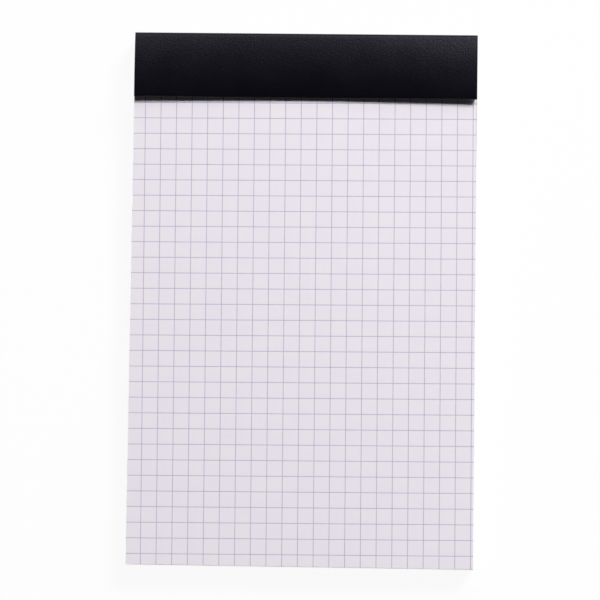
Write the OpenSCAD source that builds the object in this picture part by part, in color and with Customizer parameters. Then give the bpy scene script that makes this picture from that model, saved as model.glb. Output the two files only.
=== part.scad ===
// Head-stapled notepad, lying open on its own cover.
// The cover is one folded card: a flap behind the board, over the head, a stapled strip in front,
// then doubled back on itself over the strip and the head, with its leaf lying under the pad.

/* [Sheets] */
// Width of the pad, with every layer trimmed flush
pad_w = 110; // [70:1:160]
// Height of the sheets and of the backing board, from foot to head
pad_h = 170; // [110:1:260]
// Number of sheets
sheet_count = 80; // [40:1:120]
// Thickness of one sheet
sheet_t = 0.1; // [0.08:0.01:0.14]

/* [Backing board] */
// Thickness of the board behind the sheets
board_t = 1; // [0.6:0.1:2]

/* [Cover] */
// Thickness of the cover card
card_t = 0.35; // [0.2:0.05:0.6]
// Depth of the stapled strip, from the head of the sheets to the fold
strip_h = 19.6; // [16:0.1:30]
// Depth of the flap behind the board, from the head of the sheets
flap_h = 20; // [16:0.5:30]
// Inside radius of the two creases round the head
crease_r = 0.2; // [0.15:0.05:0.6]
// Gap inside the fold, where the cover doubles back over the strip
fold_gap = 0.2; // [0.1:0.05:0.6]
// Angle to which the strip curls up off the page, from the staples to the fold
curl_angle = 13; // [8:0.5:18]
// Radius of the bow in the doubled-back card, from the fold to the head
bow_r = 80; // [40:5:120]
// Gap between the two layers of card behind the head
layer_gap = 0.1; // [0.1:0.05:0.6]

/* [Staples] */
// Width of the flat wire
wire_w = 0.9; // [0.6:0.05:1.4]
// Thickness of the flat wire
wire_t = 0.5; // [0.3:0.05:0.8]
// Inside radius of the bends in the wire
wire_bend_r = 0.2; // [0.1:0.05:0.4]
// Length of the crown, over the legs
crown_w = 12.5; // [8:0.5:20]
// Length of the clinched end of each leg
clinch_w = 4.5; // [3:0.25:6]
// Distance between the middles of the two staples
staple_pitch = 56; // [30:1:80]
// Distance from the head of the sheets to the staples
staple_inset = 8; // [5:0.5:12]
// Clearance round a leg in the slot that it pierces
slot_gap = 0.05; // [0.02:0.01:0.15]
// Clearance where the leaf lies against the clinched legs and the board
seat_gap = 0.05; // [0.02:0.01:0.2]

/* [Hidden] */
// Furthest that a chord of a bend lies from its true arc
bend_tolerance = 0.003;

// The pad's own frame: X across, Y from foot to head, Z from the back of the board to the page.
stack_h = board_t + sheet_count * sheet_t;
staple_y = pad_h - staple_inset;
strip_top = stack_h + card_t;
flap_bottom = -card_t;

// Radii along the middle of the card
crease_mid_r = crease_r + card_t / 2;
fold_mid_r = (fold_gap + card_t) / 2;
wrap_mid_r = crease_r + card_t + layer_gap + card_t / 2;

// The strip lies flat under the staples, then curls up, and the outer edge of the fold ends it.
curl_start_y = staple_y - wire_w;
curl_end_y = pad_h - strip_h + card_t / 2 + fold_mid_r * (1 - sin(curl_angle));
curl_r = (curl_start_y - curl_end_y) / sin(curl_angle);
curl_end_z = stack_h + card_t / 2 + curl_r * (1 - cos(curl_angle));

// The doubled-back card bows in one arc, which meets the fold and the bend over the head smoothly.
fold_axis = [curl_end_y + fold_mid_r * sin(curl_angle), curl_end_z + fold_mid_r * cos(curl_angle)];
head_axis = [pad_h, stack_h - crease_r];
axis_step = head_axis - fold_axis;
axis_slope = atan2(axis_step[1], axis_step[0]);
bow_to_fold = bow_r - fold_mid_r;
bow_to_head = bow_r - wrap_mid_r;
leave_angle = 90 + axis_slope - corner_angle(norm(axis_step), bow_to_fold, bow_to_head);
bow_angle = corner_angle(bow_to_fold, bow_to_head, norm(axis_step));
outer_spine_y = pad_h + wrap_mid_r;
outer_spine_top = head_axis[1];

// Closed, the leaf reaches from the fold to the foot of the sheets.
leaf_h = pad_h - strip_h;

// Open, the pad leans on its leaf: the clinched legs hold up the head, and the foot comes down.
lift = 2 * card_t + wire_t + seat_gap;
free_edge_y = pad_h - leaf_h + strip_h + stack_h;
foot_slope = lift / staple_y;
leaf_slope = (lift - card_t - seat_gap) / (staple_y - free_edge_y);
lean = atan(min(foot_slope, leaf_slope));

// The last bend carries the card from behind the head into the leaf.
leaf_start_y = outer_spine_y - wrap_mid_r * (1 + sin(lean));
leaf_start_z = card_t / 2 / cos(lean) - lift - (leaf_start_y - staple_y) * tan(lean);
outer_spine_bottom = leaf_start_z + wrap_mid_r * cos(lean);
outer_spine_run = outer_spine_top - outer_spine_bottom;

// Lengths of card from the middle of the fold to the start of the leaf
fold_angle = 180 - curl_angle - leave_angle;
head_bend_angle = 90 + leave_angle - bow_angle;
half_fold_len = arc_length(fold_mid_r, fold_angle) / 2;
bow_len = arc_length(bow_r, bow_angle);
head_bend_len = arc_length(wrap_mid_r, head_bend_angle);
leaf_bend_len = arc_length(wrap_mid_r, 90 + lean);
leaf_run = leaf_h - half_fold_len - bow_len - head_bend_len - outer_spine_run - leaf_bend_len;

// Each step of the cover is a straight run, then a bend: [run, middle radius, angle to the left].
cover_steps = [
    [flap_h, crease_mid_r, 90],
    [stack_h - 2 * crease_r, crease_mid_r, 90],
    [pad_h - curl_start_y, curl_r, -curl_angle],
    [0, fold_mid_r, -fold_angle],
    [0, bow_r, -bow_angle],
    [0, wrap_mid_r, -head_bend_angle],
    [outer_spine_run, wrap_mid_r, -90 - lean],
    [leaf_run, 0, 0]
];

// The staple's wire, from the tip of one clinched leg to the tip of the other
wire_mid_r = wire_bend_r + wire_t / 2;
leg_x = (crown_w - wire_t) / 2;
leg_run = strip_top - flap_bottom - 2 * wire_bend_r;
clinch_run = clinch_w - wire_t / 2 - wire_mid_r;
staple_steps = [
    [clinch_run, wire_mid_r, -90],
    [leg_run, wire_mid_r, -90],
    [crown_w - wire_t - 2 * wire_mid_r, wire_mid_r, -90],
    [leg_run, wire_mid_r, -90],
    [clinch_run, 0, 0]
];

// Each slot takes a leg and the inside of its bends.
slot_w = wire_t + wire_bend_r + 2 * slot_gap;
slot_h = wire_w + 2 * slot_gap;
slot_x = leg_x - wire_bend_r / 2;

// At rest the leaf lies flat, and the origin is under the middle of the pad.
rest_foot_y = -staple_y * cos(lean) - (stack_h + lift) * sin(lean);
rest_head_y = (outer_spine_y + card_t / 2 - staple_y) * cos(lean) - (outer_spine_bottom + lift) * sin(lean);
rest_shift_y = -(rest_foot_y + rest_head_y) / 2;

function arc_length(radius, angle) = PI * radius * angle / 180;

// Angle between two sides of a triangle, from its three sides
function corner_angle(side, other_side, facing_side) =
    acos((side ^ 2 + other_side ^ 2 - facing_side ^ 2) / (2 * side * other_side));

// Chords that a bend needs to stay within bend_tolerance of its arc
function chord_count(radius, angle) = ceil(abs(angle) / (2 * acos(1 - bend_tolerance / radius)));

// A station is [x, y, heading] on the middle line of a strip.
function ahead(from, run) = from + run * [cos(from[2]), sin(from[2]), 0];

function turned(from, radius, angle) =
    let (heading = from[2] + angle, r = sign(angle) * radius)
    [from[0] + r * (sin(heading) - sin(from[2])), from[1] - r * (cos(heading) - cos(from[2])), heading];

// Stations along a strip, from its start through each run and bend to its end
function stations(steps, from = [0, 0, 0], step = 0) =
    let (
        run = steps[step][0],
        radius = steps[step][1],
        angle = steps[step][2],
        bend_start = ahead(from, run),
        chords = angle == 0 ? 0 : chord_count(radius, angle),
        bend = [for (i = [1:1:chords]) turned(bend_start, radius, angle * i / chords)],
        here = concat(step == 0 ? [from] : [], run > 0 ? [bend_start] : [], bend)
    )
    step + 1 < len(steps) ? concat(here, stations(steps, here[len(here) - 1], step + 1)) : here;

// Points beside a list of stations, to their left by the given distance
function beside(list, distance) =
    [for (s = list) [s[0] - distance * sin(s[2]), s[1] + distance * cos(s[2])]];

function reversed(list) = [for (i = [len(list) - 1:-1:0]) list[i]];

function strip_outline(list, half_t) = concat(beside(list, half_t), reversed(beside(list, -half_t)));

// Lays the pad's own frame down on its leaf.
module at_rest() {
    translate([0, rest_shift_y, 0])
        rotate([lean, 0, 0])
            translate([0, -staple_y, lift])
                children();
}

// Bent strip of even thickness, centred on Z. It starts along +X from the origin.
module bent_strip(steps, thickness, width) {
    linear_extrude(height = width, center = true)
        polygon(strip_outline(stations(steps), thickness / 2));
}

// The four slots that the legs pierce, through the layers between two heights
module leg_slots(z_from, z_to) {
    for (staple_x = [-staple_pitch / 2, staple_pitch / 2], side = [-1, 1])
        translate([staple_x + side * slot_x - slot_w / 2, staple_y - slot_h / 2, z_from])
            cube([slot_w, slot_h, z_to - z_from]);
}

// A flat layer of the pad, pierced by the legs
module pierced_layer(z_from, z_to) {
    difference() {
        translate([-pad_w / 2, 0, z_from])
            cube([pad_w, pad_h, z_to - z_from]);
        leg_slots(z_from - seat_gap, z_to + seat_gap);
    }
}

module page_block() {
    color("whitesmoke")
        at_rest()
            pierced_layer(board_t, stack_h);
}

module back_board() {
    color("darkgray")
        at_rest()
            pierced_layer(0, board_t);
}

module cover() {
    color("#1e1d22")
        at_rest()
            difference() {
                translate([0, pad_h - flap_h, flap_bottom + card_t / 2])
                    rotate([90, 0, 90])
                        bent_strip(cover_steps, card_t, pad_w);
                leg_slots(flap_bottom - seat_gap, strip_top + seat_gap);
            }
}

module staples() {
    color("silver")
        at_rest()
            for (staple_x = [-staple_pitch / 2, staple_pitch / 2])
                translate([staple_x - crown_w / 2 + clinch_w, staple_y, flap_bottom - wire_t / 2])
                    rotate([90, 0, 0])
                        rotate(180)
                            bent_strip(staple_steps, wire_t, wire_w);
}

page_block();
back_board();
cover();
staples();
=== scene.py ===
# Head-stapled squared notepad, open on its folded-back cover: sheets, card, finishes, light and camera.
import math
import random

import bmesh
import bpy
from mathutils import Euler, Matrix, Vector, noise


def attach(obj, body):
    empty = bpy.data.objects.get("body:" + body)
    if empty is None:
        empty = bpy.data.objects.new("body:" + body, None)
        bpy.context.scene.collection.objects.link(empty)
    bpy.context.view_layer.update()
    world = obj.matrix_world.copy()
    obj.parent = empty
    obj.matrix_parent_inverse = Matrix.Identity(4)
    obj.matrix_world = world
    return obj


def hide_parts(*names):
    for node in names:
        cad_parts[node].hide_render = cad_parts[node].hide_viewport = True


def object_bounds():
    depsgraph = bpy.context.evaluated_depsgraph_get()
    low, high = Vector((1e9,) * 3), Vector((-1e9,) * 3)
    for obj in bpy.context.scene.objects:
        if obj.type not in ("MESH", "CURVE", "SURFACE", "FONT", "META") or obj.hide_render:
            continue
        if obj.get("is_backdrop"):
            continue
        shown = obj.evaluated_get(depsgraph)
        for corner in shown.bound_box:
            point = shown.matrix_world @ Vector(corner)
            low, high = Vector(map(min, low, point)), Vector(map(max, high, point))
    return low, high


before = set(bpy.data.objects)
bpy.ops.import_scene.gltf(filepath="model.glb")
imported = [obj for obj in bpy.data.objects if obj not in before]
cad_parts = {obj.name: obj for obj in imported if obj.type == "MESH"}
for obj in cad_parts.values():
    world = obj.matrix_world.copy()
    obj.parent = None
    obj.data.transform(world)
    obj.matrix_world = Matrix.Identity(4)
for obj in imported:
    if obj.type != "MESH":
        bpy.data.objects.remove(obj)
cad_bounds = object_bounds()

MM = 0.001
SEED = 20

# Sheets: the top few lie loose, a hair apart, and stand up towards the foot, in its middle by a share
SHEET_T = 0.1 * MM
LOOSE_SHEETS = 4
SHEET_GAP = 0.004 * MM
SHEET_CELL = 8 * MM
FOOT_LIFT = 0.3 * MM
MIDDLE_LIFT = 0.4
LIFT_REACH = 80 * MM

# Edges of the sheets: steps from sheet to sheet, how far they may go, and within what reach they join
EDGE_DRIFT = 0.018 * MM
EDGE_SCATTER = 0.02 * MM
EDGE_LIMIT = 0.16 * MM
WELD_REACH = 0.001 * MM

# Trim of the sheets and the board: short and askew at the foot, and wider there than at the head
FOOT_TRIM = 0.46 * MM
FOOT_SKEW = 0.16 * MM
SIDE_FLARE = 0.2 * MM

# Softened edges of the board and of the wire
BOARD_EDGE_R = 0.1 * MM
WIRE_EDGE_R = 0.12 * MM

# Ruling: one crossing is given from the middle of the width and from the foot
RULING_PITCH_X = 5 * MM
RULING_PITCH_Y = 4.98 * MM
RULING_W = 0.2 * MM
RULING_TURN = math.radians(0.25)
RULING_FROM_MIDDLE = -51.19 * MM
RULING_FROM_FOOT = 143.41 * MM

# Cover card: the trim is off its left side
CARD_T = 0.35 * MM
CARD_TRIM = 0.2 * MM
STRIP_H = 19.95 * MM
FLAP_H = 20 * MM
CREASE_R = 0.2 * MM
FOLD_GAP = 0.2 * MM
LAYER_GAP = 0.1 * MM
CURL = math.radians(13)
BOW_R = 80 * MM

# Radii along the middle of the card
CREASE_MID_R = CREASE_R + CARD_T / 2
FOLD_MID_R = (FOLD_GAP + CARD_T) / 2
WRAP_MID_R = CREASE_R + CARD_T + LAYER_GAP + CARD_T / 2

# Shape of the fold across the card: a twist, ends that warp up, a sag and a slight wave
FOLD_TWIST = 0.11 * MM
FOLD_WARP = 0.88 * MM
WARP_POWER = 1.5
FOLD_SAG = 0.62 * MM
FOLD_WAVE = 0.06 * MM
FOLD_WAVE_LENGTH = 40 * MM
FOLD_WAVE_PLACE = SEED + 0.5

# Rubbing along the creases: its share in the middle, and how late it grows towards the sides
CREASE_RUB = 0.3
RUB_POWER = 6

# Cells of the card's mesh: bends below the tight radius are creases, with steps of their own
CARD_CELL = 2.5 * MM
RUN_CELL = 4 * MM
TIGHT_R = 35 * MM
TIGHT_STEP = math.radians(9)
WIDE_STEP = math.radians(0.6)

# Meshes are shaded smooth below this angle
SHARP_ANGLE = math.radians(35)

# Range that holds most values of a noise field
NOISE_LOW = 0.3
NOISE_HIGH = 0.7

# Room light: level at the horizon, level overhead, and the sine of the elevation where that begins
ROOM_AT_HORIZON = 0.13
ROOM_AT_TOP = 0.013
ROOM_TOP_HEIGHT = 0.6

# Floor: half its width in metres, its grey and the share of its look that is plain white
FLOOR_HALF_W = 20
FLOOR_GREY = 0.85
FLOOR_WHITE_SHARE = 0.94

# Camera, for a square image of 600 pixels
IMAGE_PX = 600
FOCAL_PX = 4200
SENSOR_MM = 36
CAMERA_TARGET = Vector((-1.15, 0.61, 0)) * MM
CAMERA_DISTANCE = 1350.5 * MM
CAMERA_TURN = Euler([math.radians(angle) for angle in (4.315, 1.843, 0.771)])


# The pad's own frame: Z out of the page, Y to the head

def pad_lean():
    """Angle at which the pad leans, head up, on its folded-back leaf."""
    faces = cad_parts["page_block"].data.polygons
    page = max(faces, key=lambda face: face.normal.z * face.area)
    return math.atan2(-page.normal.y, page.normal.z)


LEAN = pad_lean()
PAD_TO_ROW = Matrix.Rotation(LEAN, 4, "X")


def pad_box(node):
    """Lowest and highest corner of a node in the pad's own frame."""
    turn_back = PAD_TO_ROW.inverted()
    points = [turn_back @ vertex.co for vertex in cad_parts[node].data.vertices]
    low = Vector([min(point[axis] for point in points) for axis in range(3)])
    high = Vector([max(point[axis] for point in points) for axis in range(3)])
    return low, high


BLOCK_LOW, BLOCK_HIGH = pad_box("page_block")
BOARD_LOW, BOARD_HIGH = pad_box("back_board")
STAPLE_LOW, STAPLE_HIGH = pad_box("staples")
HALF_W = BLOCK_HIGH.x
FOOT = BLOCK_LOW.y
HEAD = BLOCK_HIGH.y
PAGE_Z = BLOCK_HIGH.z


def trimmed_outline(shift_x=0, shift_y=0):
    """Corners of a trimmed sheet or board, from the left of its foot. The shifts move its foot."""
    foot_y = FOOT + FOOT_TRIM + shift_y
    return [
        (shift_x - HALF_W - SIDE_FLARE, foot_y + FOOT_SKEW),
        (shift_x + HALF_W + SIDE_FLARE, foot_y - FOOT_SKEW),
        (HALF_W - SIDE_FLARE, HEAD),
        (SIDE_FLARE - HALF_W, HEAD),
    ]


# Material helpers

def new_material(name):
    """Material with its node tree and its shader."""
    material = bpy.data.materials.new(name)
    material.use_nodes = True
    tree = material.node_tree
    return material, tree, tree.nodes["Principled BSDF"]


def noise_field(tree, size, detail=3, roughness=0.55):
    """Noise whose features are about the given size along the pad's own axes."""
    place = tree.nodes.new("ShaderNodeTexCoord")
    mapping = tree.nodes.new("ShaderNodeMapping")
    mapping.vector_type = "TEXTURE"
    mapping.inputs["Rotation"].default_value = (LEAN, 0, 0)
    mapping.inputs["Scale"].default_value = size
    field = tree.nodes.new("ShaderNodeTexNoise")
    field.inputs["Scale"].default_value = 1
    field.inputs["Detail"].default_value = detail
    field.inputs["Roughness"].default_value = roughness
    tree.links.new(place.outputs["Object"], mapping.inputs["Vector"])
    tree.links.new(mapping.outputs["Vector"], field.inputs["Vector"])
    return field.outputs["Fac"]


def tint(tree, field, stops):
    """Colour that follows a field through (place, colour) stops."""
    ramp = tree.nodes.new("ShaderNodeValToRGB")
    elements = ramp.color_ramp.elements
    while len(elements) < len(stops):
        elements.new(0.5)
    for element, (place, colour) in zip(elements, stops):
        element.position = place
        element.color = (*colour, 1)
    tree.links.new(field, ramp.inputs["Fac"])
    return ramp.outputs["Color"]


def spread(tree, field, low, high):
    """Field spread over a range of values."""
    node = tree.nodes.new("ShaderNodeMapRange")
    node.inputs["From Min"].default_value = NOISE_LOW
    node.inputs["From Max"].default_value = NOISE_HIGH
    node.inputs["To Min"].default_value = low
    node.inputs["To Max"].default_value = high
    tree.links.new(field, node.inputs["Value"])
    return node.outputs["Result"]


def emboss(tree, shader, field, depth):
    """Raises the surface by a field, with the given depth in metres."""
    bump = tree.nodes.new("ShaderNodeBump")
    bump.inputs["Distance"].default_value = depth
    tree.links.new(field, bump.inputs["Height"])
    tree.links.new(bump.outputs["Normal"], shader.inputs["Normal"])


# Materials

def paper_material():
    """Smooth writing paper: a faint cloudiness and a fine tooth."""
    material, tree, shader = new_material("paper")
    cloud = noise_field(tree, (7 * MM, 7 * MM, 7 * MM), detail=2)
    tooth = noise_field(tree, (0.25 * MM, 0.35 * MM, 0.25 * MM), detail=4)
    colour = tint(tree, cloud, [(NOISE_LOW, (0.815, 0.776, 0.845)), (NOISE_HIGH, (0.832, 0.786, 0.84))])
    tree.links.new(colour, shader.inputs["Base Color"])
    tree.links.new(spread(tree, tooth, 0.78, 0.92), shader.inputs["Roughness"])
    emboss(tree, shader, tooth, 0.006 * MM)
    return material


def sheet_edge_material():
    """Trimmed edges of the sheets: a fine line for each sheet and faint marks of the knife. The edges'
    grey, darker than the face, and the darker lines are partly painted shade of the hairline seams
    between sheets, partly random streaks.
    """
    material, tree, shader = new_material("sheet_edges")
    lines = noise_field(tree, (25 * MM, 25 * MM, 0.16 * MM), detail=3, roughness=0.7)
    knife = noise_field(tree, (0.7 * MM, 0.7 * MM, 30 * MM), detail=2)
    # Painted shade in part: a darker grey than the paper's face, with darker streaks standing in for the
    # shade between sheets
    colour = tint(tree, lines, [(NOISE_LOW, (0.66, 0.63, 0.67)), (0.62, (0.8, 0.765, 0.81))])
    tree.links.new(colour, shader.inputs["Base Color"])
    tree.links.new(spread(tree, knife, 0.75, 0.95), shader.inputs["Roughness"])
    emboss(tree, shader, lines, 0.03 * MM)
    return material


def ink_material():
    """Thin violet-grey ruling ink, a little uneven along the line."""
    material, tree, shader = new_material("ruling_ink")
    shader.inputs["Roughness"].default_value = 0.8
    wetness = noise_field(tree, (1.5 * MM, 1.5 * MM, 1.5 * MM), detail=3)
    colour = tint(tree, wetness, [(NOISE_LOW, (0.415, 0.34, 0.55)), (NOISE_HIGH, (0.475, 0.4, 0.61))])
    tree.links.new(colour, shader.inputs["Base Color"])
    return material


def rubbed(tree, field):
    """Share of the surface that is rubbed: patches of a field along the creases."""
    crease = tree.nodes.new("ShaderNodeAttribute")
    crease.attribute_name = "crease"
    patches = tree.nodes.new("ShaderNodeMath")
    patches.operation = "MULTIPLY"
    tree.links.new(crease.outputs["Fac"], patches.inputs[0])
    tree.links.new(spread(tree, field, 0, 1), patches.inputs[1])
    return patches.outputs["Value"]


def card_material():
    """Black satin card with a fine grain, rubbed a little paler along its creases."""
    material, tree, shader = new_material("cover_card")
    grain = noise_field(tree, (0.55 * MM, 0.55 * MM, 0.55 * MM), detail=3)
    cloud = noise_field(tree, (9 * MM, 9 * MM, 9 * MM), detail=2)
    scuff = noise_field(tree, (1.2 * MM, 0.3 * MM, 0.3 * MM), detail=4)
    colour = tint(tree, rubbed(tree, scuff), [(0, (0.0014, 0.0013, 0.0031)), (1, (0.022, 0.021, 0.023))])
    tree.links.new(colour, shader.inputs["Base Color"])
    tree.links.new(spread(tree, cloud, 0.29, 0.32), shader.inputs["Roughness"])
    shader.inputs["Specular IOR Level"].default_value = 0.28
    shader.inputs["Specular Tint"].default_value = (0.86, 0.79, 1, 1)
    emboss(tree, shader, grain, 0.045 * MM)
    return material


def card_edge_material():
    """Cut edge of the card: dyed through, dull and a little paler than its face."""
    material, tree, shader = new_material("card_edge")
    fibre = noise_field(tree, (0.5 * MM, 0.5 * MM, 0.08 * MM), detail=4)
    colour = tint(tree, fibre, [(NOISE_LOW, (0.008, 0.008, 0.009)), (0.75, (0.03, 0.029, 0.031))])
    tree.links.new(colour, shader.inputs["Base Color"])
    tree.links.new(spread(tree, fibre, 0.75, 0.95), shader.inputs["Roughness"])
    emboss(tree, shader, fibre, 0.03 * MM)
    return material


def board_material():
    """Uncoated grey board with darker and paler fibres."""
    material, tree, shader = new_material("grey_board")
    fibre = noise_field(tree, (1.6 * MM, 0.5 * MM, 0.2 * MM), detail=5, roughness=0.65)
    colour = tint(tree, fibre, [
        (0.28, (0.2, 0.185, 0.165)),
        (0.45, (0.29, 0.27, 0.24)),
        (0.6, (0.32, 0.3, 0.265)),
        (0.74, (0.45, 0.42, 0.38)),
    ])
    tree.links.new(colour, shader.inputs["Base Color"])
    tree.links.new(spread(tree, fibre, 0.85, 0.97), shader.inputs["Roughness"])
    emboss(tree, shader, fibre, 0.04 * MM)
    return material


def board_edge_material():
    """Cut edge of the board: pressed layers of darker and paler fibre."""
    material, tree, shader = new_material("board_edge")
    layers = noise_field(tree, (6 * MM, 6 * MM, 0.12 * MM), detail=4, roughness=0.65)
    colour = tint(tree, layers, [(NOISE_LOW, (0.17, 0.155, 0.14)), (NOISE_HIGH, (0.37, 0.345, 0.31))])
    tree.links.new(colour, shader.inputs["Base Color"])
    tree.links.new(spread(tree, layers, 0.85, 0.97), shader.inputs["Roughness"])
    emboss(tree, shader, layers, 0.05 * MM)
    return material


def wire_material():
    """Bright galvanised wire with fine drawing marks along it."""
    material, tree, shader = new_material("staple_wire")
    shader.inputs["Metallic"].default_value = 1
    marks = noise_field(tree, (4 * MM, 0.06 * MM, 0.06 * MM), detail=3)
    colour = tint(tree, marks, [(NOISE_LOW, (0.55, 0.55, 0.57)), (NOISE_HIGH, (0.68, 0.68, 0.7))])
    tree.links.new(colour, shader.inputs["Base Color"])
    tree.links.new(spread(tree, marks, 0.22, 0.4), shader.inputs["Roughness"])
    emboss(tree, shader, marks, 0.01 * MM)
    return material


# Piece helpers

def add_piece(name, bm, materials, node):
    """Turns a mesh in the pad's own frame into a piece that stands for a node."""
    bm.transform(PAD_TO_ROW)
    bmesh.ops.recalc_face_normals(bm, faces=bm.faces)
    mesh = bpy.data.meshes.new(name)
    bm.to_mesh(mesh)
    bm.free()
    for material in materials:
        mesh.materials.append(material)
    mesh.shade_smooth()
    mesh.set_sharp_from_angle(angle=SHARP_ANGLE)
    piece = bpy.data.objects.new(name, mesh)
    bpy.context.collection.objects.link(piece)
    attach(piece, "root")
    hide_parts(node)


# Sheets and their materials by index

PAPER, EDGE, INK = range(3)


def sheet_outlines(count, rng):
    """Outlines of the sheets from the lowest up, flush at the head and drifting a little at the foot."""
    side = 0
    foot = 0
    for _ in range(count):
        side = max(-EDGE_LIMIT, min(EDGE_LIMIT, side + rng.gauss(0, EDGE_DRIFT)))
        foot = max(-EDGE_LIMIT, min(EDGE_LIMIT, foot + rng.gauss(0, EDGE_DRIFT)))
        yield trimmed_outline(side + rng.gauss(0, EDGE_SCATTER), foot + rng.gauss(0, EDGE_SCATTER))


def add_stack(bm, outlines):
    """One closed block of pressed sheets, with a step at the edge of each sheet and none at the head."""
    rings = []
    for index, outline in enumerate(outlines):
        for z in (index * SHEET_T, (index + 1) * SHEET_T):
            rings.append([bm.verts.new((x, y, BLOCK_LOW.z + z)) for x, y in outline])
    for low, high in zip(rings, rings[1:]):
        for corner in range(4):
            after = (corner + 1) % 4
            face = bm.faces.new((low[corner], low[after], high[after], high[corner]))
            face.material_index = EDGE
    bm.faces.new(reversed(rings[0])).material_index = PAPER
    bm.faces.new(rings[-1]).material_index = PAPER
    bmesh.ops.remove_doubles(bm, verts=bm.verts, dist=WELD_REACH)


def lift_at(x, y):
    """How far the top sheet stands up: nothing near the strip, most at the corners of the foot."""
    reach = max(0, min(1, (FOOT + LIFT_REACH - y) / LIFT_REACH))
    corner = MIDDLE_LIFT + (1 - MIDDLE_LIFT) * (x / HALF_W) ** 2
    return FOOT_LIFT * reach ** 2 * corner


def cut_lines(bm, start, along, places):
    """Cuts the flat mesh across one direction at the given places."""
    for place in places:
        geometry = bm.verts[:] + bm.edges[:] + bm.faces[:]
        bmesh.ops.bisect_plane(bm, geom=geometry, plane_co=start + along * place, plane_no=along)


def ruling_axes():
    """A crossing of the ruling and its two directions."""
    start = Vector((RULING_FROM_MIDDLE, FOOT + RULING_FROM_FOOT, 0))
    across = Vector((math.cos(RULING_TURN), math.sin(RULING_TURN), 0))
    return start, across, Vector((-across.y, across.x, 0))


def line_edges(pitch, reach):
    """Both edges of every ruled line within reach of the crossing."""
    count = math.ceil(reach / pitch)
    for line in range(-count, count + 1):
        yield line * pitch - RULING_W / 2
        yield line * pitch + RULING_W / 2


def on_line(distance, pitch):
    """Whether a distance from the crossing falls on a ruled line."""
    return abs(distance - round(distance / pitch) * pitch) < RULING_W / 2


def flat_sheet(outline):
    """One flat face of the given outline."""
    bm = bmesh.new()
    bm.faces.new([bm.verts.new((x, y, 0)) for x, y in outline])
    return bm


def rule_sheet(bm):
    """Cuts the ruled lines into a flat sheet and inks them."""
    start, across, up = ruling_axes()
    cut_lines(bm, start, across, line_edges(RULING_PITCH_X, 2 * HALF_W))
    cut_lines(bm, start, up, line_edges(RULING_PITCH_Y, HEAD - FOOT))
    for face in bm.faces:
        place = face.calc_center_median() - start
        inked = on_line(place.dot(across), RULING_PITCH_X) or on_line(place.dot(up), RULING_PITCH_Y)
        face.material_index = INK if inked else PAPER


def cell_sheet(bm):
    """Cuts a flat sheet into cells, so that it can bend."""
    start = Vector((0, FOOT, 0))
    columns = math.floor(HALF_W / SHEET_CELL)
    rows = math.ceil((HEAD - FOOT) / SHEET_CELL)
    cut_lines(bm, start, Vector((1, 0, 0)), [i * SHEET_CELL for i in range(-columns, columns + 1)])
    cut_lines(bm, start, Vector((0, 1, 0)), [i * SHEET_CELL for i in range(1, rows)])


def thicken(bm, z, lift_share):
    """Gives a flat sheet its thickness under height z, less a little air, and lets its foot stand up."""
    top = bm.faces[:]
    rim = [edge for edge in bm.edges if edge.is_boundary]
    under = {}
    for vertex in bm.verts[:]:
        x, y, _ = vertex.co
        vertex.co.z = z + lift_share * lift_at(x, y)
        under[vertex] = bm.verts.new((x, y, vertex.co.z - SHEET_T + SHEET_GAP))
    for face in top:
        bm.faces.new([under[vertex] for vertex in face.verts]).material_index = PAPER
    for edge in rim:
        start, end = edge.verts
        bm.faces.new((start, end, under[end], under[start])).material_index = EDGE


def sheet_stack(materials):
    """The sheets: a pressed block, a few loose sheets over it and the ruled top sheet."""
    rng = random.Random(SEED)
    count = round((PAGE_Z - BLOCK_LOW.z) / SHEET_T)
    outlines = list(sheet_outlines(count, rng))
    bm = bmesh.new()
    add_stack(bm, outlines[:-LOOSE_SHEETS])
    for order, outline in enumerate(outlines[-LOOSE_SHEETS:], start=1):
        sheet = flat_sheet(outline)
        if order == LOOSE_SHEETS:
            rule_sheet(sheet)
        else:
            cell_sheet(sheet)
        thicken(sheet, PAGE_Z - (LOOSE_SHEETS - order) * SHEET_T, order / LOOSE_SHEETS)
        loose = bpy.data.meshes.new("loose_sheet")
        sheet.to_mesh(loose)
        sheet.free()
        bm.from_mesh(loose)
        bpy.data.meshes.remove(loose)
    add_piece("sheet_stack", bm, materials, "page_block")


# Cover and board, and their materials by index

FACE, CUT = range(2)


def corner_angle(side, other_side, facing_side):
    """Angle between two sides of a triangle, from its three sides."""
    return math.acos((side ** 2 + other_side ** 2 - facing_side ** 2) / (2 * side * other_side))


def strip_curl():
    """Start and radius of the curl, and the fold's axis. The strip lies flat under the staples."""
    wire_w = STAPLE_HIGH.y - STAPLE_LOW.y
    start_y = STAPLE_LOW.y - wire_w / 2
    end_y = HEAD - STRIP_H + CARD_T / 2 + FOLD_MID_R * (1 - math.sin(CURL))
    radius = (start_y - end_y) / math.sin(CURL)
    end_z = PAGE_Z + CARD_T / 2 + radius * (1 - math.cos(CURL))
    fold_axis = Vector((end_y + FOLD_MID_R * math.sin(CURL), end_z + FOLD_MID_R * math.cos(CURL)))
    return start_y, radius, fold_axis


def bow_turns(fold_axis):
    """Slope at which the card leaves the fold, and its turn in the bow to the bend over the head."""
    step = Vector((HEAD, PAGE_Z - CREASE_R)) - fold_axis
    slope = math.atan2(step.y, step.x)
    to_fold = BOW_R - FOLD_MID_R
    to_head = BOW_R - WRAP_MID_R
    leave = math.pi / 2 + slope - corner_angle(step.length, to_fold, to_head)
    return leave, corner_angle(to_fold, to_head, step.length)


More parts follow.
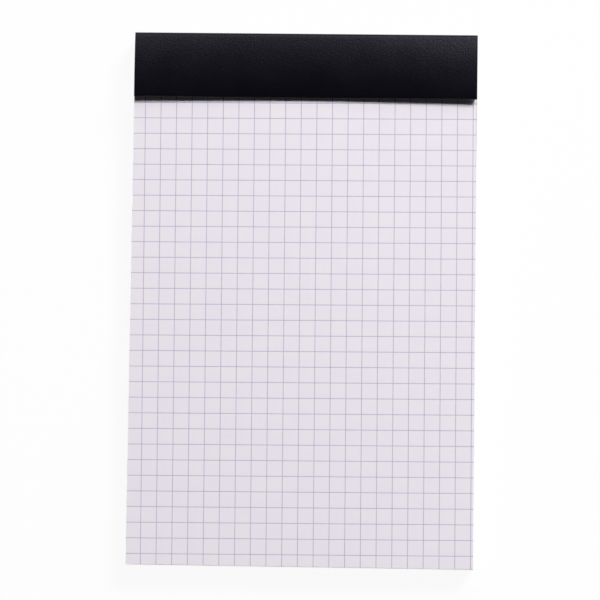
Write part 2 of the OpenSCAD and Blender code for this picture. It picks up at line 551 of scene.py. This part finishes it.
def cover_steps():
    """Steps of the card from its flap to its leaf.

    Each has a run, then a bend's middle radius and turn to the left, and a share of the fold's rise.
    """
    curl_start_y, curl_r, fold_axis = strip_curl()
    leave, bow = bow_turns(fold_axis)
    fold_turn = math.pi - CURL - leave
    head_turn = math.pi / 2 + leave - bow
    leaf_turn = math.pi / 2 + LEAN
    front_run = PAGE_Z - BOARD_LOW.z - 2 * CREASE_R

    # The leaf lies on the floor, and takes what is left of the card.
    leaf_y = HEAD - WRAP_MID_R * math.sin(LEAN)
    leaf_z = (CARD_T / 2 - leaf_y * math.sin(LEAN)) / math.cos(LEAN)
    back_run = PAGE_Z - CREASE_R - leaf_z - WRAP_MID_R * math.cos(LEAN)
    bends = FOLD_MID_R * fold_turn / 2 + BOW_R * bow + WRAP_MID_R * (head_turn + leaf_turn)
    leaf_run = HEAD - FOOT - STRIP_H - bends - back_run
    return [
        (FLAP_H, CREASE_MID_R, math.pi / 2, 0),
        (front_run, CREASE_MID_R, math.pi / 2, 0),
        (HEAD - curl_start_y, curl_r, -CURL, 1),
        (0, FOLD_MID_R, -fold_turn, 1),
        (0, BOW_R, -bow, 0),
        (0, WRAP_MID_R, -head_turn, 0),
        (back_run, WRAP_MID_R, -leaf_turn, 0),
        (leaf_run, 0, 0, 0),
    ]


def turned(y, z, heading, radius, turn):
    """Place and heading after a bend."""
    side = math.copysign(radius, turn)
    after = heading + turn
    y += side * (math.sin(after) - math.sin(heading))
    z -= side * (math.cos(after) - math.cos(heading))
    return y, z, after


def share_along(before, after, part):
    """Share of the fold's rise part of the way along a bend. It grows ever faster, and falls evenly."""
    return before + (after - before) * (part ** 2 if after > before else part)


def cover_stations():
    """Stations along the middle of the card: y, z, heading, share of the fold's rise, creased or not."""
    y = HEAD - FLAP_H
    z = BOARD_LOW.z - CARD_T / 2
    heading = 0
    share = 0
    stations = [(y, z, heading, share, False)]
    for run, radius, turn, share_after in cover_steps():
        cells = math.ceil(run / RUN_CELL)
        for _ in range(cells):
            y += run / cells * math.cos(heading)
            z += run / cells * math.sin(heading)
            stations.append((y, z, heading, share, False))
        tight = radius < TIGHT_R
        chords = math.ceil(abs(turn) / (TIGHT_STEP if tight else WIDE_STEP))
        share_before = share
        for chord in range(1, chords + 1):
            y, z, heading = turned(y, z, heading, radius, turn / chords)
            share = share_along(share_before, share_after, chord / chords)
            stations.append((y, z, heading, share, tight and chord < chords))
    return stations


def fold_rise(x):
    """How far the fold stands above its even height at a place across the card."""
    across = x / HALF_W
    wave = noise.noise(Vector((x / FOLD_WAVE_LENGTH, FOLD_WAVE_PLACE, 0)))
    return FOLD_TWIST * across + FOLD_WARP * abs(across) ** WARP_POWER - FOLD_SAG + FOLD_WAVE * wave


def card_row(bm, station, columns, offset):
    """Vertices across the card at one station, beside its middle by the given offset."""
    y, z, heading, share, creased = station
    beside_y = y - offset * math.sin(heading)
    beside_z = z + offset * math.cos(heading)
    crease = bm.verts.layers.float["crease"]
    row = []
    for x in columns:
        vertex = bm.verts.new((x, beside_y, beside_z + share * fold_rise(x)))
        vertex[crease] = creased * (CREASE_RUB + (1 - CREASE_RUB) * abs(x / HALF_W) ** RUB_POWER)
        row.append(vertex)
    return row


def cover_card(materials):
    """The cover: one sheet of card along its folded path, closed round its cut edges."""
    bm = bmesh.new()
    bm.verts.layers.float.new("crease")
    card_w = 2 * HALF_W - CARD_TRIM
    cells = round(card_w / CARD_CELL)
    columns = [HALF_W - card_w * (1 - i / cells) for i in range(cells + 1)]
    stations = cover_stations()
    inner = [card_row(bm, station, columns, CARD_T / 2) for station in stations]
    outer = [card_row(bm, station, columns, -CARD_T / 2) for station in stations]
    for row in range(len(stations) - 1):
        for col in range(cells):
            for side in (inner, outer):
                here, beyond = side[row], side[row + 1]
                bm.faces.new((here[col], here[col + 1], beyond[col + 1], beyond[col]))
        for col in (0, cells):
            edge = (inner[row][col], inner[row + 1][col], outer[row + 1][col], outer[row][col])
            bm.faces.new(edge).material_index = CUT
    for row in (0, -1):
        for col in range(cells):
            edge = (inner[row][col], inner[row][col + 1], outer[row][col + 1], outer[row][col])
            bm.faces.new(edge).material_index = CUT
    add_piece("cover_card", bm, materials, "cover")


def grey_board(materials):
    """The board behind the sheets, trimmed with them, its cut edges a little rounded."""
    bm = bmesh.new()
    outline = trimmed_outline()
    low = [bm.verts.new((x, y, BOARD_LOW.z)) for x, y in outline]
    high = [bm.verts.new((x, y, BOARD_HIGH.z)) for x, y in outline]
    bm.faces.new(reversed(low)).material_index = FACE
    bm.faces.new(high).material_index = FACE
    for corner in range(4):
        after = (corner + 1) % 4
        bm.faces.new((low[corner], low[after], high[after], high[corner])).material_index = CUT
    bmesh.ops.bevel(bm, geom=bm.edges[:], offset=BOARD_EDGE_R, segments=3, profile=0.5, affect="EDGES")
    add_piece("grey_board", bm, materials, "back_board")


# Staples

def dress_node(name, material, edge_radius):
    """Gives a node its finish and takes the sharpness off its edges."""
    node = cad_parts[name]
    node.data.materials.clear()
    node.data.materials.append(material)
    bevel = node.modifiers.new("soft_edges", "BEVEL")
    bevel.width = edge_radius
    bevel.segments = 2
    bevel.limit_method = "ANGLE"
    bevel.angle_limit = math.radians(50)


# Light, floor and camera

def area_light(name, azimuth, elevation, distance, size, level):
    """Soft square lamp aimed at the pad, with its angles in degrees and its lengths in metres.

    Its level is about the share of full brightness that it gives a level white sheet.
    """
    azimuth = math.radians(azimuth)
    elevation = math.radians(elevation)
    lamp = bpy.data.lights.new(name, "AREA")
    lamp.shape = "SQUARE"
    lamp.size = size
    lamp.energy = math.pi ** 2 * level * distance ** 2 / math.sin(elevation)
    light = bpy.data.objects.new(name, lamp)
    toward = Vector((
        math.cos(elevation) * math.cos(azimuth),
        math.cos(elevation) * math.sin(azimuth),
        math.sin(elevation),
    ))
    light.location = toward * distance
    light.rotation_euler = toward.to_track_quat("Z", "Y").to_euler()
    bpy.context.collection.objects.link(light)


def light_scene():
    """A key lamp, a broad low fill from its side, a sheen along the strip and dim room light."""
    area_light("key", azimuth=55.5, elevation=45, distance=2.8, size=0.9, level=0.803)
    area_light("fill", azimuth=58, elevation=27, distance=2.5, size=1.3, level=0.125)
    area_light("sheen", azimuth=99, elevation=50.6, distance=2.5, size=0.8, level=0.057)
    world = bpy.data.worlds.new("studio")
    bpy.context.scene.world = world
    world.use_nodes = True
    tree = world.node_tree
    direction = tree.nodes.new("ShaderNodeTexCoord")
    height = tree.nodes.new("ShaderNodeSeparateXYZ")
    tree.links.new(direction.outputs["Generated"], height.inputs["Vector"])
    stops = [(0, [ROOM_AT_HORIZON] * 3), (ROOM_TOP_HEIGHT, [ROOM_AT_TOP] * 3)]
    room = tint(tree, height.outputs["Z"], stops)
    tree.links.new(room, tree.nodes["Background"].inputs["Color"])


def floor_material():
    """White to the eye, with the pad's shadow kept, and plain pale matt to the light."""
    material, tree, shader = new_material("floor")
    shader.inputs["Base Color"].default_value = (FLOOR_GREY, FLOOR_GREY, FLOOR_GREY, 1)
    shader.inputs["Roughness"].default_value = 0.9
    shader.inputs["Specular IOR Level"].default_value = 0
    path = tree.nodes.new("ShaderNodeLightPath")
    seen = path.outputs["Is Camera Ray"]
    for ray in ("Is Glossy Ray", "Is Transmission Ray"):
        either = tree.nodes.new("ShaderNodeMath")
        either.operation = "MAXIMUM"
        tree.links.new(seen, either.inputs[0])
        tree.links.new(path.outputs[ray], either.inputs[1])
        seen = either.outputs["Value"]
    share = tree.nodes.new("ShaderNodeMath")
    share.operation = "MULTIPLY"
    share.inputs[1].default_value = FLOOR_WHITE_SHARE
    tree.links.new(seen, share.inputs[0])
    glow = tree.nodes.new("ShaderNodeEmission")
    mix = tree.nodes.new("ShaderNodeMixShader")
    tree.links.new(share.outputs["Value"], mix.inputs["Fac"])
    tree.links.new(shader.outputs["BSDF"], mix.inputs[1])
    tree.links.new(glow.outputs["Emission"], mix.inputs[2])
    tree.links.new(mix.outputs["Shader"], tree.nodes["Material Output"].inputs["Surface"])
    return material


def add_floor():
    """The surface that the pad lies on."""
    corners = ((-1, -1), (1, -1), (1, 1), (-1, 1))
    bm = bmesh.new()
    bm.faces.new([bm.verts.new((x * FLOOR_HALF_W, y * FLOOR_HALF_W, 0)) for x, y in corners])
    mesh = bpy.data.meshes.new("floor")
    bm.to_mesh(mesh)
    bm.free()
    mesh.materials.append(floor_material())
    floor = bpy.data.objects.new("floor", mesh)
    bpy.context.collection.objects.link(floor)
    floor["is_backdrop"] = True


def add_camera():
    """Camera almost straight above the pad."""
    lens = bpy.data.cameras.new("camera")
    lens.sensor_width = SENSOR_MM
    lens.lens = FOCAL_PX * SENSOR_MM / IMAGE_PX
    lens.clip_end = 100
    camera = bpy.data.objects.new("camera", lens)
    camera.location = CAMERA_TARGET + CAMERA_TURN.to_matrix() @ Vector((0, 0, CAMERA_DISTANCE))
    camera.rotation_euler = CAMERA_TURN
    bpy.context.collection.objects.link(camera)
    bpy.context.scene.camera = camera


add_camera()
sheet_stack([paper_material(), sheet_edge_material(), ink_material()])
cover_card([card_material(), card_edge_material()])
grey_board([board_material(), board_edge_material()])
dress_node("staples", wire_material(), WIRE_EDGE_R)
light_scene()
add_floor()
bpy.context.scene.view_settings.view_transform = "Standard"

sizes = {"cad": cad_bounds, "visual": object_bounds()}
{name: [list(corner) for corner in box] for name, box in sizes.items()}
